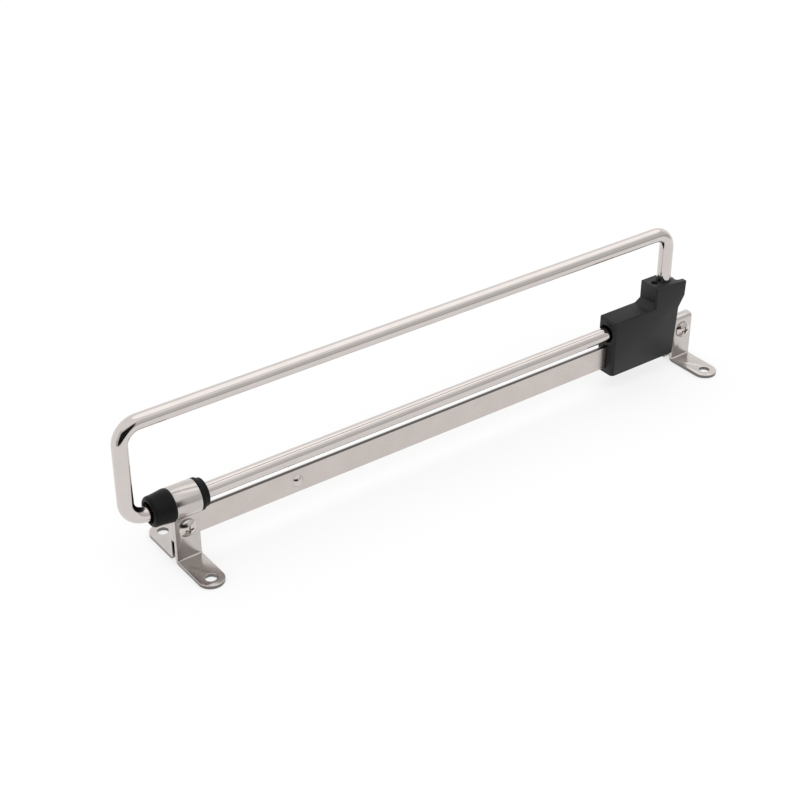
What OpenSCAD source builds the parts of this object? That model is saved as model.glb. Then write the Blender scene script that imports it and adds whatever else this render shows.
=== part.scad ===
// Pull-out clothes rail: a bent rod slides in a front bush and on a flat bar.
// Origin: centre of the four foot holes, on the underside of the feet.
// +X runs to the rear along the bar, +Z from the feet to the hanging bar.

/* [Rod loop] */
// Diameter of the bent rod
rod_d = 8; // [7:0.5:9]
// Radius of the rod's bends, measured to its axis
bend_r = 10; // [8:1:18]
// Height of the hanging bar over the lower leg, axis to axis
loop_rise = 51; // [46:1:80]
// Travel of the loop when it is pulled out
travel = 201; // [120:1:205]

/* [Guide bar] */
// Thickness of the flat bar
bar_t = 2.5; // [2:0.25:4]
// Height of the flat bar
bar_h = 13.5; // [12:0.5:20]
// Height of the bar's lower edge over the shelf
bar_lift = 12.5; // [10:0.5:20]
// Rounding of the bar's long edges
bar_edge_r = 0.4; // [0.2:0.1:0.8]

/* [Brackets] */
// Distance between the foot holes along the bar
foot_span_x = 325; // [300:5:500]
// Distance between the foot holes across the bar
foot_span_y = 46; // [38:1:70]
// Width of the bracket straps
strap_w = 13.6; // [12:0.2:16]
// Thickness of the bracket straps
strap_t = 2; // [1.5:0.25:2.5]
// Diameter of the foot holes
foot_hole_d = 5.8; // [4:0.1:6.4]
// Inside radius where a strap folds out into its foot
fold_r = 0.8; // [0.4:0.1:1.4]
// Outside radius where the rear strap folds over the bar
shoulder_r = 2.4; // [1.6:0.1:2.8]

/* [Guide bush] */
// Wall of the bush inside the front bracket's collar
bush_wall = 2.3; // [1.6:0.05:2.6]
// Height of the collar's inner wall over the bar
collar_lift = 1.3; // [0.8:0.1:3]
// Length of the nose in front of the collar
nose_len = 11.3; // [8:0.1:14]
// Wall of the nose at its front face, over the rod's bore
nose_front_wall = 3.7; // [3.2:0.1:4.2]
// Wall of the nose where it meets the collar
nose_back_wall = 4.4; // [3.8:0.1:5]
// Rounding of the nose's outer front edge
nose_edge_r = 1.8; // [0.8:0.1:2]
// Widening of the mouth over the bore, measured on the radius
mouth_flare = 1.3; // [0.4:0.1:1.4]
// Depth of the flared mouth
mouth_depth = 3; // [1:0.5:5]
// Wall of the rear lip that holds the bush in the collar
lip_wall = 4.2; // [3.6:0.1:4.6]
// Length of the rear lip
lip_len = 2.3; // [1.5:0.1:4]
// Wall of the smaller ring behind the lip
ring_wall = 3.2; // [1.2:0.1:3.4]
// Length of the smaller ring
ring_len = 2.4; // [1:0.1:5]

/* [Slide block] */
// Wall between the rod's socket and the block's side
socket_wall = 2.76; // [1.6:0.02:4]
// Cover over the rod's lower leg
roof_t = 4.7; // [3:0.1:8]
// Floor under the flat bar
floor_t = 3.2; // [3:0.1:6]
// Length of the low part in front of the post
block_lead = 30; // [20:1:50]
// Height of the post over the low part
post_h = 12.3; // [9:0.1:18]
// Wall between the set screw's hole and the post's front face
post_wall = 2.3; // [1.5:0.1:6]
// Web between the set screw's hole and the rod's socket
screw_web = 0.5; // [0.3:0.1:2]
// Web between the lower leg's bore and the bottom of the upright's socket
socket_web = 1.2; // [0.8:0.1:3]
// Distance from the upright's axis forward to the end of the lower leg
leg_end = 3; // [1:0.5:3.5]
// Length of the sloped step at the post's foot
step_len = 4.6; // [2:0.1:8]
// Height of the sloped step
step_h = 2.9; // [1:0.1:6]
// Setback of the sloped step from the block's sides
step_inset = 1; // [0.5:0.1:3]
// Thickness of the thin wing behind the rod
wing_t = 3.3; // [2:0.1:4]
// Reach of the wing's tip behind the upright's axis
wing_reach = 11.6; // [9:0.1:20]
// Fall of the wing's upper edge from the post to the tip
wing_fall = 1.3; // [0.5:0.1:3]
// Lean of the wing's rear edge, foot to tip
wing_lean = 0.4; // [0.2:0.1:1]
// Height of the wing's foot over the low part
wing_foot_rise = 2; // [1:0.1:4]
// Drop from the low part's top to the kink in the rear face
kink_drop = 4.6; // [2:0.2:8]
// Distance of the kink behind the upright's axis
kink_back = 7.2; // [6:0.1:9]
// Distance of the rear face's lower corner behind the upright's axis
heel_back = 5.3; // [4.5:0.1:6]
// Radius of the hollow between the boss and the wing
web_r = 1.5; // [0.8:0.1:2.5]
// Share of that radius by which the hollow's centre stands off the boss
web_reach_share = 0.95; // [0.8:0.05:0.95]
// Chamfer on the upright front edges
front_chamfer = 1.5; // [0.5:0.1:2]
// Chamfer on the other edges
edge_chamfer = 0.8; // [0.3:0.1:1.2]
// Depth of the round recess around the rod in the front face
recess_depth = 3; // [1:0.5:6]
// Widening of the recess over the rod's bore, measured on the radius
recess_flare = 1.1; // [0.5:0.1:1.6]
// Widening and depth of the chamfer around the upright's socket
socket_flare = 0.2; // [0.1:0.1:1.3]

/* [Fasteners] */
// Thread diameter of the bracket screws
screw_d = 5; // [4:0.5:5]
// Length of the bracket screws under the head
screw_len = 12; // [12:1:20]
// Diameter of the bracket screws' heads
head_d = 9.4; // [8:0.1:10]
// Straight rim of the heads
head_rim = 0.6; // [0.3:0.1:1]
// Domed part of the heads
head_dome = 2; // [1.5:0.1:2.6]
// Width over the arms of the cross recess
cross_span = 4.6; // [3:0.2:5]
// Width of each arm of the cross recess
cross_arm = 1.1; // [0.8:0.1:1.4]
// Depth of the cross recess
cross_depth = 1.6; // [0.8:0.1:2]
// Width of the nuts across their flats
nut_flats = 8; // [8:0.5:9]
// Height of the nuts
nut_h = 4; // [3:0.2:4.5]
// Diameter of the stop rivet's shank
rivet_d = 3.2; // [2.5:0.1:4]
// Diameter of the stop rivet's heads
rivet_head_d = 6.4; // [5:0.2:8]
// Height of the stop rivet's heads
rivet_head_h = 1.8; // [1:0.1:2.5]
// Diameter of the set screw
grub_d = 4; // [3:0.5:5]
// Length of the set screw
grub_len = 10; // [6:1:12]
// Width of the set screw's hexagon socket across its flats
grub_flats = 2; // [1.5:0.25:2.5]
// Depth of the hexagon socket
grub_socket = 2.5; // [1:0.5:3]
// Chamfer at the set screw's point
grub_chamfer = 0.8; // [0.4:0.1:1]

/* [Clearances] */
// Around the rod in the bush and in the block, on the radius
rod_clear = 0.08; // [0.04:0.01:0.1]
// Between the block's slot and the flat bar
bar_clear = 0.3; // [0.2:0.05:0.6]
// Between the bush and the collar, on the radius
bush_clear = 0.02; // [0.01:0.01:0.1]
// Between the bush's key notch and the flat bar
notch_clear = 0.1; // [0.05:0.05:0.4]
// Around the screws in their holes, on the radius
screw_clear = 0.15; // [0.1:0.05:0.3]
// Around the nut's thread, the rivet's shank and the set screw, on the radius
thread_clear = 0.05; // [0.02:0.01:0.1]
// Between the block and the stop rivet at the end of the travel
stop_gap = 0.3; // [0.2:0.1:2]
// Between the block and the rear bracket, with the loop at home
home_gap = 3.7; // [1:0.1:10]
// Between the start of the rod's bend and the nose's face, with the loop at home
mouth_gap = 1; // [0:0.1:3]

/* [Hidden] */
$fn = 72;
overrun = 1;

// Heights over the shelf
rod_r = rod_d / 2;
bore_r = rod_r + rod_clear;
collar_in_r = bore_r + bush_wall + bush_clear;
collar_out_r = collar_in_r + strap_t;
bar_top = bar_lift + bar_h;
bar_mid = bar_lift + bar_h / 2;
leg_z = bar_top + collar_lift + collar_in_r;
rail_z = leg_z + loop_rise;
leg_face = bar_t / 2 + strap_t;

// Places along the bar
front_x = -foot_span_x / 2;
rear_x = foot_span_x / 2;
bar_len = foot_span_x + strap_w;
nose_x = front_x - strap_w / 2 - nose_len;
upright_front_x = nose_x - mouth_gap - bend_r;
upright_rear_x = rear_x - strap_w / 2 - home_gap - heel_back;
leg_end_x = upright_rear_x - leg_end;

// Slide block, with its outline measured from the rear upright's axis
block_half = bore_r + socket_wall;
grub_r = grub_d / 2;
grub_hole_r = grub_r + thread_clear;
grub_back = bore_r + screw_web + grub_hole_r;
post_front = grub_back + grub_hole_r + post_wall;
block_front = post_front + block_lead;
block_bottom = bar_lift - bar_clear - floor_t;
block_top = leg_z + bore_r + roof_t;
post_top = block_top + post_h;
socket_bottom = leg_z + bore_r + socket_web;
block_front_x = upright_rear_x - block_front;
rivet_x = block_front_x - travel - stop_gap - rivet_head_d / 2;

// Lays a shape drawn across the bar in Y and Z along X, centred on x
module across(x, length) {
    translate([x - length / 2, 0, 0])
        rotate([90, 0, 90])
            linear_extrude(length)
                children();
}

// Lays a shape drawn in X and Z across the bar, centred on the bar
module along(width) {
    rotate([90, 0, 0])
        linear_extrude(width, center = true)
            children();
}

// Stands an axis of revolution along X, starting at x
module lie(x, z) {
    translate([x, 0, z])
        rotate([0, 90, 0])
            children();
}

// A hole or shank across the bar, from y_low to y_high
module cross_pin(x, z, r, y_low, y_high) {
    translate([x, y_low, z])
        rotate([-90, 0, 0])
            cylinder(r = r, h = y_high - y_low);
}

// A domed cap that stands on its flat face
module dome(base_d, height) {
    base_r = base_d / 2;
    ball_r = (base_r * base_r + height * height) / (2 * height);
    intersection() {
        translate([0, 0, height - ball_r])
            sphere(r = ball_r);
        cylinder(r = base_r, h = height);
    }
}

// A quarter of a strap's fold, from inner radius r, in the corner below and left of its centre
module fold(r) {
    outer = r + strap_t;
    intersection() {
        difference() {
            circle(r = outer);
            circle(r = r);
        }
        translate([-outer, -outer])
            square(outer);
    }
}

// One leg of a bracket and its fold, drawn in Y and Z on the +Y side
module leg_profile(top) {
    translate([bar_t / 2, strap_t + fold_r])
        square([strap_t, top - strap_t - fold_r]);
    translate([leg_face + fold_r, strap_t + fold_r])
        fold(fold_r);
}

// Both feet of a bracket, each with a round end about its hole
module feet(x) {
    for (side = [-1, 1])
        difference() {
            linear_extrude(strap_t) {
                translate([x - strap_w / 2, side > 0 ? leg_face + fold_r : -foot_span_y / 2])
                    square([strap_w, foot_span_y / 2 - leg_face - fold_r]);
                translate([x, side * foot_span_y / 2])
                    circle(d = strap_w);
            }
            translate([x, side * foot_span_y / 2, -overrun])
                cylinder(d = foot_hole_d, h = strap_t + 2 * overrun);
        }
}

// Clearance hole for a bracket screw
module screw_hole(x) {
    reach = leg_face + overrun;
    cross_pin(x, bar_mid, screw_d / 2 + screw_clear, -reach, reach);
}

module guide_bar() {
    color([0.76, 0.74, 0.72])
        difference() {
            across(0, bar_len)
                bar_profile();
            screw_hole(front_x);
            screw_hole(rear_x);
            cross_pin(rivet_x, bar_mid, rivet_d / 2 + thread_clear, -bar_t, bar_t);
        }
}

// Flat bar's section: a rectangle with round corners
module bar_profile() {
    half_t = bar_t / 2;
    translate([-half_t + bar_edge_r, bar_lift])
        square([bar_t - 2 * bar_edge_r, bar_h]);
    translate([-half_t, bar_lift + bar_edge_r])
        square([bar_t, bar_h - 2 * bar_edge_r]);
    for (side = [-1, 1])
        for (z = [bar_lift + bar_edge_r, bar_top - bar_edge_r])
            translate([side * (half_t - bar_edge_r), z])
                circle(r = bar_edge_r);
}

module front_bracket() {
    color([0.70, 0.68, 0.66])
        difference() {
            union() {
                across(front_x, strap_w)
                    collar_profile();
                feet(front_x);
            }
            screw_hole(front_x);
        }
}

// Strap bent round the bush: a collar that is open between its two legs
module collar_profile() {
    difference() {
        union() {
            translate([0, leg_z])
                circle(r = collar_out_r);
            for (side = [0, 1])
                mirror([side, 0])
                    leg_profile(leg_z);
        }
        translate([0, leg_z])
            circle(r = collar_in_r);
        translate([-bar_t / 2, 0])
            square([bar_t, leg_z]);
    }
}

module rear_bracket() {
    color([0.70, 0.68, 0.66])
        difference() {
            union() {
                across(rear_x, strap_w)
                    saddle_profile();
                feet(rear_x);
            }
            screw_hole(rear_x);
        }
}

// Strap folded square over the bar
module saddle_profile() {
    saddle_top = bar_top + strap_t;
    difference() {
        union() {
            for (side = [0, 1])
                mirror([side, 0]) {
                    leg_profile(saddle_top - shoulder_r);
                    translate([leg_face - shoulder_r, saddle_top - shoulder_r])
                        circle(r = shoulder_r);
                }
            translate([shoulder_r - leg_face, bar_top])
                square([2 * (leg_face - shoulder_r), strap_t]);
        }
        bar_profile();
        translate([-bar_t / 2, 0])
            square([bar_t, bar_top - bar_edge_r]);
    }
}

module guide_bush() {
    collar_x = nose_x + nose_len;
    lip_x = collar_x + strap_w;
    notch_half = bar_t / 2 + notch_clear;
    notch_top = bar_top + notch_clear;
    color([0.14, 0.14, 0.15])
        difference() {
            union() {
                lie(nose_x, leg_z)
                    rotate_extrude()
                        nose_profile();
                lie(collar_x, leg_z)
                    cylinder(r = collar_in_r - bush_clear, h = strap_w);
                lie(lip_x, leg_z)
                    cylinder(r = bore_r + lip_wall, h = lip_len);
                lie(lip_x + lip_len, leg_z)
                    cylinder(r = bore_r + ring_wall, h = ring_len);
            }
            lie(nose_x + nose_len - overrun, leg_z)
                cylinder(r = bore_r, h = strap_w + lip_len + ring_len + 2 * overrun);
            translate([lip_x, -notch_half, notch_top - bar_h])
                cube([lip_len + ring_len + overrun, 2 * notch_half, bar_h]);
        }
}

// Half section of the nose: radius to the right, distance from its face upward
module nose_profile() {
    face_r = bore_r + nose_front_wall;
    rim_r = face_r - nose_edge_r;
    polygon([
        [bore_r + mouth_flare, 0],
        [rim_r, 0],
        [face_r, nose_edge_r],
        [bore_r + nose_back_wall, nose_len],
        [bore_r, nose_len],
        [bore_r, mouth_depth]
    ]);
    intersection() {
        translate([rim_r, nose_edge_r])
            circle(r = nose_edge_r);
        translate([rim_r, 0])
            square(nose_edge_r);
    }
}

module stop_rivet() {
    color([0.80, 0.78, 0.76])
        translate([rivet_x, 0, bar_mid]) {
            for (side = [-1, 1])
                rotate([side * 90, 0, 0])
                    translate([0, 0, bar_t / 2])
                        dome(rivet_head_d, rivet_head_h);
            rotate([90, 0, 0])
                cylinder(d = rivet_d, h = bar_t, center = true);
        }
}

module bracket_screws() {
    color([0.80, 0.78, 0.76])
        for (x = [front_x, rear_x])
            translate([x, -leg_face, bar_mid])
                rotate([90, 0, 0])
                    pan_screw();
}

// Screw with its head's underside on the origin and its shank below
module pan_screw() {
    difference() {
        union() {
            cylinder(d = head_d, h = head_rim);
            translate([0, 0, head_rim])
                dome(head_d, head_dome);
            translate([0, 0, -screw_len])
                cylinder(d = screw_d, h = screw_len);
        }
        translate([0, 0, head_rim + head_dome - cross_depth])
            linear_extrude(cross_depth + overrun)
                for (turn = [0, 90])
                    rotate(turn)
                        square([cross_span, cross_arm], center = true);
    }
}

module bracket_nuts() {
    corner_r = nut_flats / 2 / cos(30);
    color([0.80, 0.78, 0.76])
        for (x = [front_x, rear_x])
            translate([x, leg_face, bar_mid])
                rotate([-90, 0, 0])
                    difference() {
                        cylinder(r = corner_r, h = nut_h, $fn = 6);
                        translate([0, 0, -overrun])
                            cylinder(r = screw_d / 2 + thread_clear, h = nut_h + 2 * overrun);
                    }
}

// A straight stretch of the rod between two heights
module upright(x, z_low, z_high) {
    translate([x, 0, z_low])
        cylinder(r = rod_r, h = z_high - z_low);
}

// A quarter bend of the rod about its centre; at angle 0 it joins +X and +Z
module bend(x, z, angle) {
    translate([x, 0, z])
        rotate([90, angle, 0])
            rotate_extrude(angle = 90)
                translate([bend_r, 0])
                    circle(r = rod_r);
}

module hanging_rod() {
    bend_front_x = upright_front_x + bend_r;
    bend_rear_x = upright_rear_x - bend_r;
    bend_low_z = leg_z + bend_r;
    bend_high_z = rail_z - bend_r;
    color([0.86, 0.84, 0.83]) {
        lie(bend_front_x, leg_z)
            cylinder(r = rod_r, h = leg_end_x - bend_front_x);
        bend(bend_front_x, bend_low_z, 180);
        upright(upright_front_x, bend_low_z, bend_high_z);
        bend(bend_front_x, bend_high_z, 270);
        lie(bend_front_x, rail_z)
            cylinder(r = rod_r, h = bend_rear_x - bend_front_x);
        bend(bend_rear_x, bend_high_z, 0);
        upright(upright_rear_x, socket_bottom, bend_high_z);
    }
}

module slide_block() {
    color([0.20, 0.20, 0.21])
        difference() {
            union() {
                intersection() {
                    along(2 * block_half)
                        block_outline();
                    union() {
                        low_part();
                        high_part();
                    }
                }
                sloped_step();
            }
            bar_slot();
            rod_sockets();
            low_part_edges();
        }
}

// Side view of the block
module block_outline() {
    translate([upright_rear_x, 0])
        polygon([
            [-block_front, block_bottom],
            [-block_front, block_top],
            [-post_front, block_top],
            [-post_front, post_top],
            [0, post_top],
            [wing_reach, post_top - wing_fall],
            [wing_reach - wing_lean, block_top + wing_foot_rise],
            [kink_back, block_top - kink_drop],
            [heel_back, block_bottom]
        ]);
}

// Plan of the low part, over the whole length of the block
module low_part() {
    length = block_front + wing_reach;
    translate([block_front_x, 0, block_bottom])
        linear_extrude(block_top - block_bottom)
            polygon([
                [0, front_chamfer - block_half],
                [front_chamfer, -block_half],
                [length, -block_half],
                [length, block_half],
                [front_chamfer, block_half],
                [0, block_half - front_chamfer]
            ]);
}

// Plan of the post, the boss round the upright and the thin wing
module high_part() {
    wing_in = wing_t - block_half;
    web_y = wing_in + web_r;
    web_x = sqrt(pow(block_half + web_reach_share * web_r, 2) - pow(web_y, 2));
    translate([upright_rear_x, 0, block_bottom])
        linear_extrude(post_top - block_bottom) {
            polygon([
                [-post_front, edge_chamfer - block_half],
                [edge_chamfer - post_front, -block_half],
                [0, -block_half],
                [0, block_half],
                [edge_chamfer - post_front, block_half],
                [-post_front, block_half - edge_chamfer]
            ]);
            circle(r = block_half);
            translate([0, -block_half])
                square([wing_reach, wing_t]);
            difference() {
                polygon([
                    [0, 0],
                    [0, wing_in],
                    [web_x, wing_in],
                    [web_x, web_y]
                ]);
                translate([web_x, web_y])
                    circle(r = web_r);
            }
        }
}

// Sloped step at the post's foot
module sloped_step() {
    translate([upright_rear_x - post_front, 0, block_top])
        along(2 * (block_half - step_inset))
            polygon([
                [-step_len, 0],
                [0, step_h],
                [edge_chamfer, step_h],
                [edge_chamfer, -edge_chamfer],
                [-step_len, -edge_chamfer]
            ]);
}

// Slot for the flat bar, open at both ends
module bar_slot() {
    slot_half = bar_t / 2 + bar_clear;
    length = block_front + wing_reach + 2 * overrun;
    translate([block_front_x - overrun, -slot_half, bar_lift - bar_clear])
        cube([length, 2 * slot_half, bar_h + 2 * bar_clear]);
}

// Blind sockets for both ends of the rod, and the hole of the set screw
module rod_sockets() {
    lie(block_front_x - overrun, leg_z)
        cylinder(r = bore_r, h = leg_end_x - block_front_x + overrun);
    lie(block_front_x - overrun, leg_z)
        cylinder(r = bore_r + recess_flare, h = recess_depth + overrun);
    translate([upright_rear_x, 0, socket_bottom]) {
        cylinder(r = bore_r, h = post_top - socket_bottom + overrun);
        translate([0, 0, post_top - socket_bottom - socket_flare])
            cylinder(r1 = bore_r, r2 = bore_r + socket_flare + overrun, h = socket_flare + overrun);
    }
    translate([upright_rear_x - grub_back, 0, leg_z])
        cylinder(r = grub_hole_r, h = post_top - leg_z + overrun);
}

// Chamfers on the upper edges of the low part
module low_part_edges() {
    for (side = [-1, 1])
        translate([block_front_x - overrun, side * block_half, block_top])
            rotate([0, 90, 0])
                cylinder(r = edge_chamfer, h = block_lead + overrun, $fn = 4);
    translate([block_front_x, -block_half - overrun, block_top])
        rotate([-90, 0, 0])
            cylinder(r = edge_chamfer, h = 2 * (block_half + overrun), $fn = 4);
}

module rod_set_screw() {
    socket_r = grub_flats / 2 / cos(30);
    color([0.45, 0.44, 0.43])
        translate([upright_rear_x - grub_back, 0, leg_z + rod_r])
            difference() {
                union() {
                    cylinder(r1 = grub_r - grub_chamfer, r2 = grub_r, h = grub_chamfer);
                    translate([0, 0, grub_chamfer])
                        cylinder(r = grub_r, h = grub_len - grub_chamfer);
                }
                translate([0, 0, grub_len - grub_socket])
                    cylinder(r = socket_r, h = grub_socket + overrun, $fn = 6);
            }
}

guide_bar();
front_bracket();
rear_bracket();
guide_bush();
stop_rivet();
bracket_screws();
bracket_nuts();
hanging_rod();
slide_block();
rod_set_screw();
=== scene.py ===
import math

import bmesh
import bpy
from mathutils import Matrix, Vector


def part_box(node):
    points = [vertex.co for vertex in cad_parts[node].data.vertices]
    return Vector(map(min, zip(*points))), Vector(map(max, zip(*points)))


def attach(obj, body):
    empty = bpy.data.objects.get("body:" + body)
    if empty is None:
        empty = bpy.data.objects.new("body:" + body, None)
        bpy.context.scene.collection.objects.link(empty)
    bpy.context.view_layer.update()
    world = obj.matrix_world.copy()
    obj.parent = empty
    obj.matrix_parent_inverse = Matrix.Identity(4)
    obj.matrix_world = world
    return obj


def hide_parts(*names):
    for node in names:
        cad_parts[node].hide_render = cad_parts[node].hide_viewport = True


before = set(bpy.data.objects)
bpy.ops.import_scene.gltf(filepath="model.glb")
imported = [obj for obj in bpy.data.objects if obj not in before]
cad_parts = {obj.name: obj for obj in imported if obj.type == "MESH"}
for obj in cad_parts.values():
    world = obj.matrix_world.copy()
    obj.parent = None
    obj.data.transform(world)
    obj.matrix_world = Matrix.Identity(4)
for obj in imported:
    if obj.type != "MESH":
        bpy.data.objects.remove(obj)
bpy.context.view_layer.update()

# Lengths are in metres, as the frame's are
MM = 0.001

# Reach of a cutter past the face that it cuts
OVERRUN = 1.0 * MM

# Bent rod
ROD_R = 4.0 * MM
BEND_R = 10.0 * MM
ROD_END_CHAMFER = 0.5 * MM
ROD_RING_GAP = 1.0 * MM
LEG_END_BEFORE_UPRIGHT = 3.0 * MM
SOCKET_BOTTOM_OVER_LEG = 5.28 * MM

# Rubber bush, with radii measured from the rod's axis
BORE_R = 4.08 * MM
NOSE_LEN = 11.3 * MM
FACE_R = 7.78 * MM
NOSE_BACK_R = 8.48 * MM
NOSE_EDGE_R = 1.8 * MM
MOUTH_R = 5.38 * MM
MOUTH_DEPTH = 3.0 * MM
MOUTH_RIM_R = 0.45 * MM
# Outline of the nose behind its front edge, as shares of its length and its rear radius
NOSE_OUTLINE = [(0.22, 0.917), (0.34, 0.922), (0.48, 0.938), (0.62, 0.960), (0.74, 0.982),
                (0.83, 0.996), (0.90, 1.0), (0.955, 0.994), (0.985, 0.978), (1.0, 0.955)]
SLEEVE_R = 6.38 * MM
LIP_R = 8.28 * MM
LIP_LEN = 2.3 * MM
LIP_FRONT_EDGE_R = 0.5 * MM
LIP_BACK_EDGE_R = 0.6 * MM
RING_R = 7.28 * MM
RING_EDGE_R = 0.5 * MM
NOTCH_HALF = 1.35 * MM
NOTCH_LEAD = 0.2 * MM
NOTCH_TOP_OVER_BAR = 0.1 * MM

# Straps
INNER_FACE = 1.25 * MM
STRAP_EDGE = 0.28 * MM

# Slide block
BLOCK_EDGE = 0.45 * MM
HOLE_EDGE = 0.12 * MM
# Reach of the crisp rims round the recess, the upright's socket and the set screw's hole
RECESS_REACH = 1.3 * MM
SOCKET_REACH = 0.5 * MM
SCREW_HOLE_REACH = 0.3 * MM
# Angles in degrees: where a corner begins, which corners stay fine, and the room that one needs
CORNER_FROM = 25
FINE_BELOW = 50
CORNER_ROOM = 15

# Screws and nuts
SCREW_R = 2.5 * MM
SCREW_TIP = 0.5 * MM
SCREW_TIP_LEN = 0.4 * MM
THREAD_START = 0.2 * MM
THREAD_PITCH = 0.8 * MM
THREAD_DEPTH = 0.45 * MM
# Places of crest, root and crest along one turn, as shares of the pitch
THREAD_SHARES = (0.15, 0.5, 0.85)
HEAD_R = 4.7 * MM
HEAD_RIM = 0.6 * MM
HEAD_DOME = 2.0 * MM
CROSS_SPAN = 4.6 * MM
CROSS_ARM = 1.1 * MM
CROSS_DEPTH = 1.6 * MM
NUT_CORNER_R = 4.62 * MM
NUT_H = 4.0 * MM
NUT_FALL = 0.35 * MM
NUT_FACE_SETBACK = 0.1 * MM
NUT_OVER_CORNER = 0.05 * MM
NUT_BORE_CLEAR = 0.05 * MM
NUT_BORE_CHAMFER = 0.3 * MM

# Fineness of the round shapes
ROD_SIDES = 64
BEND_STEPS = 24
TURNED_STEPS = 96
FASTENER_STEPS = 72
DOME_STEPS = 12
ROUNDING_STEPS = 3

# Angles in degrees from which straps get rounded edges, and other pieces keep crisp ones
ROUNDED_FROM = 30
ROD_CRISP_FROM = 30
BUSH_CRISP_FROM = 40
SCREW_CRISP_FROM = 35
NUT_CRISP_FROM = 25

# Points this close together are one, and faces that bend less than this angle are one flat face
WELD = 0.001 * MM
FLAT_WITHIN = 0.5

# Values of a noise between which roughness and colour change
ROUGH_FROM = 0.25
ROUGH_TO = 0.75
TINT_FROM = 0.3
TINT_TO = 0.7

# Colours of the finishes
PLATING = (0.477, 0.442, 0.423)
BAR_STEEL = (0.465, 0.425, 0.403)
STRAP_STEEL = (0.435, 0.405, 0.388)
# Painted shade for the straps' feet edges and the faces between their legs
STRAP_PAINTED_SHADE = (0.13, 0.121, 0.115)
# Painted shade for the near side of the bar's top, under the rod
BAR_PAINTED_SHADE = (0.08, 0.074, 0.071)
OXIDE = (0.035, 0.034, 0.033)
BLACK_PLASTIC = (0.0104, 0.0101, 0.0104)
BLACK_RUBBER = (0.0046, 0.0046, 0.0049)

# Painted shade on the bar's top under the rod: how far down and how far across it goes, and where it
# ends
BAR_SHADE_DEPTH = 0.06 * MM
BAR_SHADE_END_DEPTH = 0.2 * MM
BAR_SHADE_TO = 0.3 * MM
BAR_SHADE_END_FROM = 0.6 * MM

# Painted shade on the straps' feet edges and between their legs: up to the first value shaded, from the
# second on plated
FOOT_SHADE_HEIGHTS = (1.6 * MM, 1.85 * MM)
BETWEEN_LEGS_SHADE = (INNER_FACE + 0.1 * MM, INNER_FACE + 0.3 * MM)
OVER_BAR_FADE = 1.0 * MM


# Camera at the photograph's angle
CAMERA_AIM = (-0.035863, -0.00097, 0.043096)
CAMERA_TURN = -36.196
CAMERA_RISE = 31.815
CAMERA_REACH = 0.849145
CAMERA_LENS = 75.52


def make_camera():
    """The camera, turned and raised round its aim."""
    data = bpy.data.cameras.new("camera")
    data.sensor_fit = "HORIZONTAL"
    data.sensor_width = 36.0
    data.lens = CAMERA_LENS
    data.clip_start = 0.01
    data.clip_end = 50.0
    camera = bpy.data.objects.new("camera", data)
    bpy.context.scene.collection.objects.link(camera)
    turn_by, rise = math.radians(CAMERA_TURN), math.radians(CAMERA_RISE)
    level = math.cos(rise)
    back = Vector((math.sin(turn_by) * level, -math.cos(turn_by) * level, math.sin(rise)))
    camera.location = Vector(CAMERA_AIM) + back * CAMERA_REACH
    camera.rotation_mode = "QUATERNION"
    camera.rotation_quaternion = (-back).to_track_quat("-Z", "Y")
    bpy.context.scene.camera = camera


# Node helpers
def new_tree(owner):
    """The empty node tree of a material or a world."""
    owner.use_nodes = True
    tree = owner.node_tree
    tree.nodes.clear()
    return tree


def add(tree, kind, **values):
    """A node with values on its inputs, where _ stands for a space in an input's name."""
    node = tree.nodes.new(kind)
    for name, value in values.items():
        socket = node.inputs[name.replace("_", " ")]
        socket.default_value = value
    return node


def wire(tree, source, out, target, into):
    """Leads an output of one node to an input of another."""
    tree.links.new(source.outputs[out], target.inputs[into])


def finish_of(name):
    """A new material with its shader wired to its output."""
    material = bpy.data.materials.new(name)
    tree = new_tree(material)
    shader = add(tree, "ShaderNodeBsdfPrincipled")
    output = add(tree, "ShaderNodeOutputMaterial")
    wire(tree, shader, "BSDF", output, "Surface")
    return material, tree, shader


def grain(tree, scale, stretch=(1, 1, 1), detail=3.0):
    """Noise on the piece's own coordinates, drawn out by the stretch."""
    place = add(tree, "ShaderNodeTexCoord")
    mapping = add(tree, "ShaderNodeMapping", Scale=stretch)
    noise = add(tree, "ShaderNodeTexNoise", Scale=scale, Detail=detail, Roughness=0.6)
    wire(tree, place, "Object", mapping, "Vector")
    wire(tree, mapping, "Vector", noise, "Vector")
    return noise


def spread(tree, noise, low, high):
    """Turns a noise into a value between low and high."""
    ramp = add(tree, "ShaderNodeMapRange", From_Min=ROUGH_FROM, From_Max=ROUGH_TO)
    ramp.inputs["To Min"].default_value = low
    ramp.inputs["To Max"].default_value = high
    wire(tree, noise, "Fac", ramp, "Value")
    return ramp


def tint(tree, noise, colour, change):
    """Turns a noise into a colour a little darker and lighter than the given one."""
    ramp = add(tree, "ShaderNodeValToRGB")
    first, last = ramp.color_ramp.elements
    first.position, last.position = TINT_FROM, TINT_TO
    first.color = (*[c * (1 - change) for c in colour], 1)
    last.color = (*[c * (1 + change) for c in colour], 1)
    wire(tree, noise, "Fac", ramp, "Fac")
    return ramp


def coordinates(tree):
    """The piece's own coordinates, in metres."""
    place = add(tree, "ShaderNodeTexCoord")
    parts = add(tree, "ShaderNodeSeparateXYZ")
    wire(tree, place, "Object", parts, "Vector")
    return parts


def work_out(tree, operation, *values):
    """A sum on values, each of them a number or a node with its output."""
    node = tree.nodes.new("ShaderNodeMath")
    node.operation = operation
    for i, value in enumerate(values):
        if isinstance(value, tuple):
            wire(tree, *value, node, i)
        else:
            node.inputs[i].default_value = value
    return node


def ramp_over(tree, source, out, start, end):
    """A value that goes from 0 at start to 1 at end."""
    ramp = add(tree, "ShaderNodeMapRange", From_Min=start, From_Max=end)
    wire(tree, source, out, ramp, "Value")
    return ramp


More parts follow.
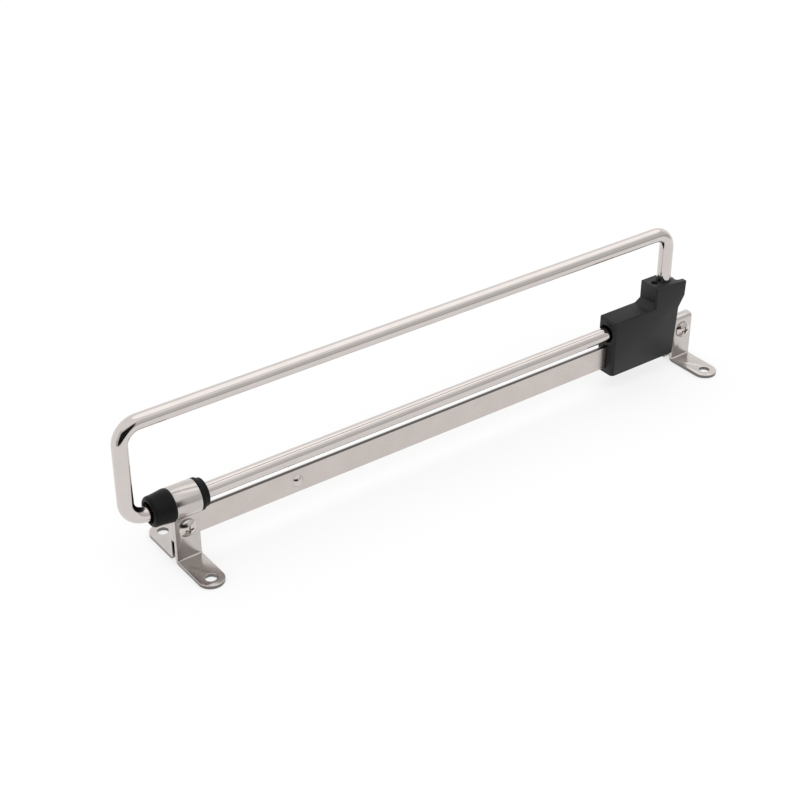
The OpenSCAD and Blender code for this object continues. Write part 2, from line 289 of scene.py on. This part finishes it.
def blend(tree, share, dark, source):
    """A dark colour where the share is 0 and the source's colour where it is 1."""
    both = tree.nodes.new("ShaderNodeMix")
    both.data_type = "RGBA"
    colours = [i for i in both.inputs if i.type == "RGBA"]
    colours[0].default_value = (*dark, 1)
    tree.links.new(share.outputs[0], both.inputs["Factor"])
    tree.links.new(source.outputs[0], colours[1])
    return [o for o in both.outputs if o.type == "RGBA"][0]


def relief(tree, noise, strength, depth):
    """Surface relief from a noise, with its depth in metres."""
    bump = add(tree, "ShaderNodeBump", Strength=strength, Distance=depth)
    wire(tree, noise, "Fac", bump, "Height")
    return bump


# Finishes
def bright_plating():
    """Nickel plating on drawn rod: faint clouding and fine handling marks."""
    material, tree, shader = finish_of("bright_plating")
    shader.inputs["Metallic"].default_value = 1.0
    clouds = grain(tree, scale=90.0)
    marks = grain(tree, scale=900.0, detail=2.0)
    wire(tree, tint(tree, clouds, PLATING, change=0.03), "Color", shader, "Base Color")
    wire(tree, spread(tree, clouds, low=0.07, high=0.12), "Result", shader, "Roughness")
    wire(tree, relief(tree, marks, strength=0.02, depth=0.02 * MM), "Normal", shader, "Normal")
    return material


def satin_bar():
    """Bar stock finished lengthways, with painted shade along the near side of its upper edge, under
    the rod.
    """
    material, tree, shader = finish_of("satin_bar")
    shader.inputs["Metallic"].default_value = 1.0
    lines = grain(tree, scale=60.0, stretch=(1, 26, 26), detail=4.0)
    clouds = grain(tree, scale=70.0)
    steel = tint(tree, clouds, BAR_STEEL, change=0.035)
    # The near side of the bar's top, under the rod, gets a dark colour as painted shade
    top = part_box("guide_bar")[1].z
    place = coordinates(tree)
    under = ramp_over(tree, place, "Z", top - BAR_SHADE_DEPTH, top - BAR_SHADE_END_DEPTH)
    behind = ramp_over(tree, place, "Y", BAR_SHADE_TO, BAR_SHADE_END_FROM)
    outside_bar_shade = work_out(tree, "MAXIMUM", (under, "Result"), (behind, "Result"))
    tree.links.new(blend(tree, outside_bar_shade, BAR_PAINTED_SHADE, steel), shader.inputs["Base Color"])
    wire(tree, spread(tree, lines, low=0.24, high=0.36), "Result", shader, "Roughness")
    wire(tree, relief(tree, lines, strength=0.10, depth=0.03 * MM), "Normal", shader, "Normal")
    return material


def unshaded_share(tree):
    """1 on the plated faces, 0 where shade is painted: on the feet's side faces and between the legs
    below the bar.
    """
    place = coordinates(tree)
    width = work_out(tree, "ABSOLUTE", (place, "Y"))
    bar_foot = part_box("guide_bar")[0].z
    above_edge = ramp_over(tree, place, "Z", *FOOT_SHADE_HEIGHTS)
    outside = ramp_over(tree, width, 0, *BETWEEN_LEGS_SHADE)
    over_bar = ramp_over(tree, place, "Z", bar_foot, bar_foot + OVER_BAR_FADE)
    seen = work_out(tree, "MAXIMUM", (outside, "Result"), (over_bar, "Result"))
    return work_out(tree, "MINIMUM", (seen, 0), (above_edge, "Result"))


def strap_plating():
    """Plated strap steel: rolling marks, slight clouding, and painted shade on the feet's edges and
    between the legs.
    """
    material, tree, shader = finish_of("strap_plating")
    shader.inputs["Metallic"].default_value = 1.0
    clouds = grain(tree, scale=160.0)
    marks = grain(tree, scale=700.0, stretch=(1, 1, 0.25), detail=3.0)
    steel = tint(tree, clouds, STRAP_STEEL, change=0.05)
    # Painted shade darkens the feet's side faces and the faces between the legs
    tree.links.new(blend(tree, unshaded_share(tree), STRAP_PAINTED_SHADE, steel), shader.inputs["Base Color"])
    wire(tree, spread(tree, clouds, low=0.19, high=0.26), "Result", shader, "Roughness")
    wire(tree, relief(tree, marks, strength=0.06, depth=0.03 * MM), "Normal", shader, "Normal")
    return material


def fastener_plating():
    """Bright plating of screws, nuts and the rivet."""
    material, tree, shader = finish_of("fastener_plating")
    shader.inputs["Metallic"].default_value = 1.0
    clouds = grain(tree, scale=500.0)
    wire(tree, tint(tree, clouds, PLATING, change=0.04), "Color", shader, "Base Color")
    wire(tree, spread(tree, clouds, low=0.12, high=0.2), "Result", shader, "Roughness")
    wire(tree, relief(tree, clouds, strength=0.05, depth=0.03 * MM), "Normal", shader, "Normal")
    return material


def dark_oxide():
    """Blackened steel of the set screw."""
    material, tree, shader = finish_of("dark_oxide")
    shader.inputs["Metallic"].default_value = 1.0
    clouds = grain(tree, scale=900.0)
    wire(tree, tint(tree, clouds, OXIDE, change=0.2), "Color", shader, "Base Color")
    wire(tree, spread(tree, clouds, low=0.35, high=0.5), "Result", shader, "Roughness")
    wire(tree, relief(tree, clouds, strength=0.1, depth=0.03 * MM), "Normal", shader, "Normal")
    return material


def moulded_plastic():
    """Moulded black plastic with a fine matt grain."""
    material, tree, shader = finish_of("moulded_plastic")
    shader.inputs["Specular IOR Level"].default_value = 0.235
    pores = grain(tree, scale=1800.0, detail=2.0)
    clouds = grain(tree, scale=120.0)
    wire(tree, tint(tree, clouds, BLACK_PLASTIC, change=0.12), "Color", shader, "Base Color")
    wire(tree, spread(tree, clouds, low=0.46, high=0.56), "Result", shader, "Roughness")
    wire(tree, relief(tree, pores, strength=0.35, depth=0.06 * MM), "Normal", shader, "Normal")
    return material


def soft_rubber():
    """Black rubber, a little dusty."""
    material, tree, shader = finish_of("soft_rubber")
    shader.inputs["Specular IOR Level"].default_value = 0.10
    dust = grain(tree, scale=700.0, detail=4.0)
    wire(tree, tint(tree, dust, BLACK_RUBBER, change=0.25), "Color", shader, "Base Color")
    wire(tree, spread(tree, dust, low=0.42, high=0.56), "Result", shader, "Roughness")
    wire(tree, relief(tree, dust, strength=0.25, depth=0.05 * MM), "Normal", shader, "Normal")
    return material


# Shape helpers
def object_of(name, bm):
    """A new object in the scene from a shape."""
    mesh = bpy.data.meshes.new(name)
    bm.to_mesh(mesh)
    bm.free()
    made = bpy.data.objects.new(name, mesh)
    bpy.context.scene.collection.objects.link(made)
    return made


def new_piece(name, bm, material, body, nodes):
    """A finished piece: it rides on its body and stands for its nodes of the frame."""
    piece = object_of(name, bm)
    for face in piece.data.polygons:
        face.use_smooth = True
    piece.data.materials.append(material)
    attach(piece, body)
    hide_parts(*nodes)
    return piece


def keep_crisp(piece, angle):
    """Keeps every edge crisp that is sharper than the angle."""
    piece.data.set_sharp_from_angle(angle=math.radians(angle))


def round_edges(piece, width):
    """Rounds every sharp edge."""
    bevel = piece.modifiers.new("round_edges", "BEVEL")
    bevel.width = width
    bevel.segments = ROUNDING_STEPS
    bevel.limit_method = "ANGLE"
    bevel.angle_limit = math.radians(ROUNDED_FROM)
    bevel.use_clamp_overlap = False
    bevel.harden_normals = True
    bevel.miter_outer = "MITER_ARC"


def has_room(edge):
    """False where another edge leaves one of its ends almost along it."""
    for corner in edge.verts:
        along = edge.other_vert(corner).co - corner.co
        for other in corner.link_edges:
            if other is edge:
                continue
            if along.angle(other.other_vert(corner).co - corner.co) < math.radians(CORNER_ROOM):
                return False
    return True


def mark_edges(bm, angle, fine, share):
    """Marks the outer edges sharper than the angle for rounding, the fine ones by a smaller share.

    The inner ones stay crisp.
    """
    weight = bm.edges.layers.float.new("bevel_weight_edge")
    for edge in bm.edges:
        bend = edge.calc_face_angle_signed(0)
        if abs(bend) < math.radians(angle):
            continue
        if bend > 0 and has_room(edge):
            edge[weight] = share if fine(edge) else 1.0
        else:
            edge.smooth = False


def copy_of(node):
    """The frame's solid as one closed skin with its flat faces whole."""
    bm = bmesh.new()
    bm.from_mesh(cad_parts[node].data)
    bmesh.ops.remove_doubles(bm, verts=bm.verts, dist=WELD)
    bmesh.ops.dissolve_limit(bm, angle_limit=math.radians(FLAT_WITHIN), verts=bm.verts, edges=bm.edges)
    return bm


def turn(section, origin, axis, steps=TURNED_STEPS, closed=True):
    """A shape turned from a half section of (distance along the axis, radius) points."""
    bm = bmesh.new()
    axis = Vector(axis)
    side = axis.orthogonal().normalized()
    verts = [bm.verts.new(Vector(origin) + axis * along + side * r) for along, r in section]
    pairs = list(zip(verts, verts[1:]))
    if closed:
        pairs.append((verts[-1], verts[0]))
    edges = [bm.edges.new(pair) for pair in pairs]
    bmesh.ops.spin(bm, geom=verts + edges, cent=origin, axis=axis, angle=2 * math.pi,
                   steps=steps, use_merge=True, use_duplicate=False)
    bmesh.ops.remove_doubles(bm, verts=bm.verts, dist=WELD)
    bmesh.ops.recalc_face_normals(bm, faces=bm.faces)
    return bm


def arc(centre_along, centre_r, radius, start, end, steps=8):
    """Points of a rounded corner in a half section, with angles from the axis."""
    points = []
    for i in range(steps + 1):
        a = math.radians(start + (end - start) * i / steps)
        points.append((centre_along + radius * math.cos(a), centre_r + radius * math.sin(a)))
    return points


def block_between(low, high):
    """A plain box used as a cutter."""
    low, high = Vector(low), Vector(high)
    bm = bmesh.new()
    bmesh.ops.create_cube(bm, size=1.0)
    bmesh.ops.scale(bm, vec=high - low, verts=bm.verts)
    bmesh.ops.translate(bm, vec=(high + low) / 2, verts=bm.verts)
    return bm


def cut(body, tool, operation="DIFFERENCE"):
    """Cuts one closed shape with another and returns the result."""
    blank = object_of("blank", body)
    cutter = object_of("cutter", tool)
    made = blank.modifiers.new("cut", "BOOLEAN")
    made.operation = operation
    made.solver = "EXACT"
    made.object = cutter
    ready = blank.evaluated_get(bpy.context.evaluated_depsgraph_get())
    result = bmesh.new()
    result.from_mesh(ready.data)
    for used in (blank, cutter):
        mesh = used.data
        bpy.data.objects.remove(used)
        bpy.data.meshes.remove(mesh)
    bmesh.ops.remove_doubles(result, verts=result.verts, dist=WELD)
    return result


def join(parts):
    """Several shapes in one mesh."""
    whole = bmesh.new()
    for part in parts:
        mesh = bpy.data.meshes.new("part")
        part.to_mesh(mesh)
        part.free()
        whole.from_mesh(mesh)
        bpy.data.meshes.remove(mesh)
    return whole


# Shapes of the bent rod
def straight(bm, loop, step):
    """A straight stretch, with a ring close to each end to keep its shading even."""
    step = Vector(step)
    short = step.normalized() * ROD_RING_GAP
    for part in (short, step - 2 * short, short):
        made = bmesh.ops.extrude_edge_only(bm, edges=loop)
        verts = {g for g in made["geom"] if isinstance(g, bmesh.types.BMVert)}
        bmesh.ops.translate(bm, vec=part, verts=list(verts))
        loop = [g for g in made["geom"] if isinstance(g, bmesh.types.BMEdge)
                and all(v in verts for v in g.verts)]
    return loop


def quarter(bm, loop, centre):
    """A quarter bend round a centre in the rod's plane."""
    made = bmesh.ops.spin(bm, geom=loop, cent=centre, axis=(0, 1, 0),
                          angle=math.pi / 2, steps=BEND_STEPS)
    return [g for g in made["geom_last"] if isinstance(g, bmesh.types.BMEdge)]


def bent_rod(material):
    """The whole loop, swept from the end of the lower leg to the foot of the rear upright."""
    low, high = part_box("hanging_rod")
    front_x, rear_x = low.x + ROD_R, high.x - ROD_R
    leg_z, rail_z = low.z + ROD_R, high.z - ROD_R
    end_x = rear_x - LEG_END_BEFORE_UPRIGHT
    bend_low, bend_high = leg_z + BEND_R, rail_z - BEND_R
    bm = bmesh.new()
    ring = bmesh.ops.create_circle(bm, segments=ROD_SIDES, radius=ROD_R)["verts"]
    bmesh.ops.rotate(bm, verts=ring, matrix=Matrix.Rotation(math.pi / 2, 3, "Y"))
    bmesh.ops.translate(bm, verts=ring, vec=(end_x, 0, leg_z))
    loop = list(bm.edges)
    loop = straight(bm, loop, (front_x + BEND_R - end_x, 0, 0))
    loop = quarter(bm, loop, (front_x + BEND_R, 0, bend_low))
    loop = straight(bm, loop, (0, 0, bend_high - bend_low))
    loop = quarter(bm, loop, (front_x + BEND_R, 0, bend_high))
    loop = straight(bm, loop, (rear_x - front_x - 2 * BEND_R, 0, 0))
    loop = quarter(bm, loop, (rear_x - BEND_R, 0, bend_high))
    straight(bm, loop, (0, 0, leg_z + SOCKET_BOTTOM_OVER_LEG - bend_high))
    open_ends = [e for e in bm.edges if e.is_boundary]
    bmesh.ops.holes_fill(bm, edges=open_ends)
    rims = [e for f in bm.faces if len(f.verts) == ROD_SIDES for e in f.edges]
    bmesh.ops.bevel(bm, geom=rims, offset=ROD_END_CHAMFER, segments=1, profile=0.5,
                    affect="EDGES", material=-1)
    bmesh.ops.recalc_face_normals(bm, faces=bm.faces)
    piece = new_piece("bent_rod", bm, material, "hanger", ["hanging_rod"])
    keep_crisp(piece, ROD_CRISP_FROM)


# Shapes of the rubber bush
def bush_section(length):
    """Half section of the bush, from its flared mouth round the outside to its rear face."""
    rim = FACE_R - NOSE_EDGE_R
    lip = NOSE_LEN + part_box("front_bracket")[1].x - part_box("front_bracket")[0].x
    ring = lip + LIP_LEN
    section = [(MOUTH_DEPTH, BORE_R)]
    section += arc(MOUTH_RIM_R, MOUTH_R + MOUTH_RIM_R, MOUTH_RIM_R, 270, 180, steps=5)
    section += arc(NOSE_EDGE_R, rim, NOSE_EDGE_R, 180, 90)
    section += [(along * NOSE_LEN, r * NOSE_BACK_R) for along, r in NOSE_OUTLINE]
    section += [(NOSE_LEN, SLEEVE_R), (lip, SLEEVE_R)]
    section += arc(lip + LIP_FRONT_EDGE_R, LIP_R - LIP_FRONT_EDGE_R, LIP_FRONT_EDGE_R, 180, 90, steps=4)
    section += arc(ring - LIP_BACK_EDGE_R, LIP_R - LIP_BACK_EDGE_R, LIP_BACK_EDGE_R, 90, 0, steps=4)
    section += [(ring, RING_R)]
    section += arc(length - RING_EDGE_R, RING_R - RING_EDGE_R, RING_EDGE_R, 90, 0, steps=4)
    section += [(length, BORE_R)]
    return section


def rubber_bush(material):
    """The turned bush, with its rear part notched over the bar."""
    low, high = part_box("guide_bush")
    axis_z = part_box("hanging_rod")[0].z + ROD_R
    origin = (low.x, 0, axis_z)
    body = turn(bush_section(high.x - low.x), origin, (1, 0, 0))
    notch_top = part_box("guide_bar")[1].z + NOTCH_TOP_OVER_BAR
    lip_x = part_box("front_bracket")[1].x
    notch = block_between((lip_x - NOTCH_LEAD, -NOTCH_HALF, axis_z - 2 * LIP_R),
                          (high.x + OVERRUN, NOTCH_HALF, notch_top))
    bm = cut(body, notch)
    piece = new_piece("rubber_bush", bm, material, "guide", ["guide_bush"])
    keep_crisp(piece, BUSH_CRISP_FROM)


# Straps and the block keep the frame's shape and get rounded edges
def front_strap(material):
    """The front bracket, bent round the bush."""
    piece = new_piece("front_strap", copy_of("front_bracket"), material, "guide",
                      ["front_bracket"])
    round_edges(piece, STRAP_EDGE)


def rear_strap(material):
    """The rear bracket, bent over the bar."""
    piece = new_piece("rear_strap", copy_of("rear_bracket"), material, "guide",
                      ["rear_bracket"])
    round_edges(piece, STRAP_EDGE)


def sliding_block(material):
    """The block, with soft outer edges and crisp rims round its holes and its slot."""
    rod_low, rod_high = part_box("hanging_rod")
    leg_z, upright_x = rod_low.z + ROD_R, rod_high.x - ROD_R
    grub_low, grub_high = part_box("rod_set_screw")
    grub_x, grub_r = (grub_low.x + grub_high.x) / 2, (grub_high.x - grub_low.x) / 2

    def is_fine(edge):
        """True at shallow corners, and where both ends lie at a hole or at the slot."""
        if edge.calc_face_angle(0) < math.radians(FINE_BELOW):
            return True
        for x, y, z in [v.co for v in edge.verts]:
            in_bore = math.hypot(y, z - leg_z) < BORE_R + RECESS_REACH
            in_socket = z > leg_z and math.hypot(x - upright_x, y) < BORE_R + SOCKET_REACH
            in_screw_hole = z > leg_z and math.hypot(x - grub_x, y) < grub_r + SCREW_HOLE_REACH
            if not (in_bore or in_socket or in_screw_hole or abs(y) < 2 * INNER_FACE):
                return False
        return True

    bm = copy_of("slide_block")
    mark_edges(bm, CORNER_FROM, is_fine, HOLE_EDGE / BLOCK_EDGE)
    piece = new_piece("sliding_block", bm, material, "hanger", ["slide_block"])
    round_edges(piece, BLOCK_EDGE)
    piece.modifiers["round_edges"].limit_method = "WEIGHT"


# Screws and nuts
def thread_section(start, end, radius):
    """Half section of a thread as rings, from start to end along the shank."""
    section = [(start, radius)]
    turns = int((end - start) / THREAD_PITCH)
    for i in range(turns):
        crest, root, next_crest = [start + (i + share) * THREAD_PITCH for share in THREAD_SHARES]
        section += [(crest, radius), (root, radius - THREAD_DEPTH), (next_crest, radius)]
    section += [(end - SCREW_TIP_LEN, radius), (end, radius - SCREW_TIP)]
    return section


def dome_section(base, radius, height):
    """Half section of a low dome that stands on the base."""
    ball = (radius * radius + height * height) / (2 * height)
    half_angle = math.degrees(math.asin(radius / ball))
    return arc(base + height - ball, 0, ball, half_angle, 0, DOME_STEPS)


def pan_screw(x, y, z, length):
    """One screw that points along +Y, with a cross in its domed head."""
    section = [(length, 0), (length, SCREW_R - SCREW_TIP)]
    threads = thread_section(THREAD_START, length, SCREW_R)
    section += list(reversed(threads[:-1]))
    section += [(0, SCREW_R), (0, HEAD_R), (-HEAD_RIM, HEAD_R)]
    section += [(-along, r) for along, r in dome_section(HEAD_RIM, HEAD_R, HEAD_DOME)[1:]]
    body = turn(section, (x, y, z), (0, 1, 0), steps=FASTENER_STEPS, closed=False)
    face = y - HEAD_RIM - HEAD_DOME
    for span, arm in ((CROSS_SPAN, CROSS_ARM), (CROSS_ARM, CROSS_SPAN)):
        slot = block_between((x - span / 2, face - OVERRUN, z - arm / 2),
                             (x + span / 2, face + CROSS_DEPTH, z + arm / 2))
        body = cut(body, slot)
    return body


def screws(material):
    """Both screws, at the two ends of their box in the frame."""
    low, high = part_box("bracket_screws")
    z = (low.z + high.z) / 2
    head_y = low.y + HEAD_RIM + HEAD_DOME
    places = [low.x + HEAD_R, high.x - HEAD_R]
    bm = join([pan_screw(x, head_y, z, high.y - head_y) for x in places])
    piece = new_piece("screws", bm, material, "guide", ["bracket_screws"])
    keep_crisp(piece, SCREW_CRISP_FROM)


def hex_nut(x, y, z):
    """One hexagon nut on a face at y, with its corners turned down at both ends."""
    bm = bmesh.new()
    ring = bmesh.ops.create_circle(bm, segments=6, radius=NUT_CORNER_R, cap_ends=True)["verts"]
    bmesh.ops.rotate(bm, verts=ring, matrix=Matrix.Rotation(math.pi / 2, 3, "X"))
    bmesh.ops.translate(bm, verts=ring, vec=(x, y, z))
    made = bmesh.ops.extrude_face_region(bm, geom=list(bm.faces))
    top = [g for g in made["geom"] if isinstance(g, bmesh.types.BMVert)]
    bmesh.ops.translate(bm, verts=top, vec=(0, NUT_H, 0))
    bmesh.ops.recalc_face_normals(bm, faces=bm.faces)
    flats = NUT_CORNER_R * math.cos(math.pi / 6)
    over = NUT_CORNER_R + NUT_OVER_CORNER
    bore = SCREW_R + NUT_BORE_CLEAR
    section = [(0, bore + NUT_BORE_CHAMFER), (0, flats - NUT_FACE_SETBACK), (NUT_FALL, over),
               (NUT_H - NUT_FALL, over), (NUT_H, flats - NUT_FACE_SETBACK),
               (NUT_H, bore + NUT_BORE_CHAMFER), (NUT_H - NUT_BORE_CHAMFER, bore),
               (NUT_BORE_CHAMFER, bore)]
    turned = turn(section, (x, y, z), (0, 1, 0), steps=FASTENER_STEPS)
    return cut(bm, turned, "INTERSECT")


def nuts(material):
    """Both nuts, on the screws' far ends."""
    low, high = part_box("bracket_nuts")
    z = (low.z + high.z) / 2
    places = [low.x + NUT_CORNER_R, high.x - NUT_CORNER_R]
    bm = join([hex_nut(x, low.y, z) for x in places])
    piece = new_piece("nuts", bm, material, "guide", ["bracket_nuts"])
    keep_crisp(piece, NUT_CRISP_FROM)


def dress(node, material):
    """Puts a finish on a solid of the frame that is shown as it is."""
    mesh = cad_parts[node].data
    mesh.materials.clear()
    mesh.materials.append(material)


# Floor, with the glow that the camera sees and the glow that the metal mirrors
FLOOR_HALF = 30.0
FLOOR_COLOUR = 0.22
FLOOR_GLOW = 0.70
FLOOR_GLOW_MIRRORED = 0.99

# Light, with the lamps' spread in degrees and the way that each one shines
ROOM_LIGHT = 1.3
TOP_LIGHT = 0.35
TOP_LIGHT_ANGLE = 52
TOP_LIGHT_WAY = (-0.453, -0.12, -0.883)
SIDE_LIGHT = 0.45
SIDE_LIGHT_ANGLE = 80
SIDE_LIGHT_WAY = (-0.31, 0.85, -0.42)

# Cards that only the metal sees, with bearings in degrees from +Y towards +X
CARD_GAP = 2.0 * MM
CARD_STEPS = 32
SCREEN_FROM = 100
SCREEN_TO = 260
SCREEN_R = 1.7
SCREEN_FOOT = 0.2
SCREEN_H = 1.25
SCREEN_GREY = 0.93
TABLE_FRONT = 0.45
TABLE_GREY = 0.72
DARK_X = -0.19
DARK_FROM = 169
DARK_TO = 232
TABLE_EDGE = 0.24
DARK_REACH = 1.3
DARK_TOP = 0.76
DARK_GREY = 0.01


def pale_floor():
    """A wide pale floor under the feet."""
    bm = bmesh.new()
    bmesh.ops.create_grid(bm, x_segments=1, y_segments=1, size=FLOOR_HALF)
    floor = object_of("floor", bm)
    floor.data.materials.append(floor_finish())


def floor_finish():
    """White paper that keeps a soft shadow."""
    material = bpy.data.materials.new("floor_paper")
    tree = new_tree(material)
    paper = add(tree, "ShaderNodeBsdfDiffuse", Color=(FLOOR_COLOUR,) * 3 + (1,))
    path = add(tree, "ShaderNodeLightPath")
    mirrored = work_out(tree, "MAXIMUM", (path, "Is Glossy Ray"), (path, "Is Transmission Ray"))
    shown = work_out(tree, "MULTIPLY", (path, "Is Camera Ray"), FLOOR_GLOW)
    level = work_out(tree, "MULTIPLY_ADD", (mirrored, 0), FLOOR_GLOW_MIRRORED, (shown, 0))
    glow = add(tree, "ShaderNodeEmission")
    wire(tree, level, 0, glow, "Strength")
    both = add(tree, "ShaderNodeAddShader")
    output = add(tree, "ShaderNodeOutputMaterial")
    wire(tree, paper, 0, both, 0)
    wire(tree, glow, 0, both, 1)
    wire(tree, both, 0, output, "Surface")
    return material


def white_room():
    """Even light from all sides."""
    world = bpy.data.worlds.new("room")
    bpy.context.scene.world = world
    tree = new_tree(world)
    light = add(tree, "ShaderNodeBackground", Color=(1, 1, 1, 1), Strength=ROOM_LIGHT)
    output = add(tree, "ShaderNodeOutputWorld")
    wire(tree, light, "Background", output, "Surface")


def far_lamp(name, energy, angle, way, mirrored):
    """A wide lamp far away, which the bright metal sees only if it is mirrored."""
    data = bpy.data.lights.new(name, "SUN")
    data.energy = energy
    data.angle = math.radians(angle)
    lamp = bpy.data.objects.new(name, data)
    bpy.context.scene.collection.objects.link(lamp)
    lamp.rotation_mode = "QUATERNION"
    lamp.rotation_quaternion = Vector(way).to_track_quat("-Z", "Y")
    lamp.visible_glossy = mirrored


def reflected_card(name, bm, grey):
    """A card that only the bright metal sees."""
    card = object_of(name, bm)
    material = bpy.data.materials.new(name)
    tree = new_tree(material)
    face = add(tree, "ShaderNodeEmission", Color=(grey, grey, grey, 1), Strength=1.0)
    output = add(tree, "ShaderNodeOutputMaterial")
    wire(tree, face, "Emission", output, "Surface")
    card.data.materials.append(material)
    card.visible_camera = False
    card.visible_diffuse = False
    card.visible_shadow = False


def curved_card(name, rows, centre_x, start, end, grey):
    """A card of (reach, height) rows, swept round the object from one bearing to another."""
    bm = bmesh.new()
    at = math.radians(start)
    verts = [bm.verts.new((centre_x + reach * math.sin(at), reach * math.cos(at), height))
             for reach, height in rows]
    edges = [bm.edges.new(pair) for pair in zip(verts, verts[1:])]
    bmesh.ops.spin(bm, geom=verts + edges, cent=(centre_x, 0, 0), axis=(0, 0, 1),
                   angle=math.radians(start - end), steps=CARD_STEPS)
    reflected_card(name, bm, grey)


def grey_screen():
    """A curved grey screen on the camera's side of the rail."""
    rows = [(SCREEN_R, SCREEN_FOOT), (SCREEN_R, SCREEN_H)]
    curved_card("grey_screen", rows, 0, SCREEN_FROM, SCREEN_TO, SCREEN_GREY)


def table_front():
    """The darker near part of the table, up to the foot of the screen."""
    rows = [(TABLE_FRONT, CARD_GAP), (SCREEN_R, CARD_GAP), (SCREEN_R, SCREEN_FOOT)]
    curved_card("table_front", rows, 0, SCREEN_FROM, SCREEN_TO, TABLE_GREY)


def dark_side():
    """The dark room beyond the table's front edge, low round the loop's front end."""
    rows = [(TABLE_EDGE, 2 * CARD_GAP), (DARK_REACH, 2 * CARD_GAP), (DARK_REACH, DARK_TOP)]
    curved_card("dark_side", rows, DARK_X, DARK_FROM, DARK_TO, DARK_GREY)


make_camera()
white_room()
far_lamp("top_light", TOP_LIGHT, TOP_LIGHT_ANGLE, TOP_LIGHT_WAY, True)
far_lamp("side_light", SIDE_LIGHT, SIDE_LIGHT_ANGLE, SIDE_LIGHT_WAY, False)
pale_floor()
grey_screen()
table_front()
dark_side()

rod_finish = bright_plating()
strap_finish = strap_plating()
fastener_finish = fastener_plating()

bent_rod(rod_finish)
rubber_bush(soft_rubber())
front_strap(strap_finish)
rear_strap(strap_finish)
sliding_block(moulded_plastic())
screws(fastener_finish)
nuts(fastener_finish)
dress("guide_bar", satin_bar())
dress("stop_rivet", fastener_finish)
dress("rod_set_screw", dark_oxide())

bpy.context.scene.view_settings.view_transform = "Standard"
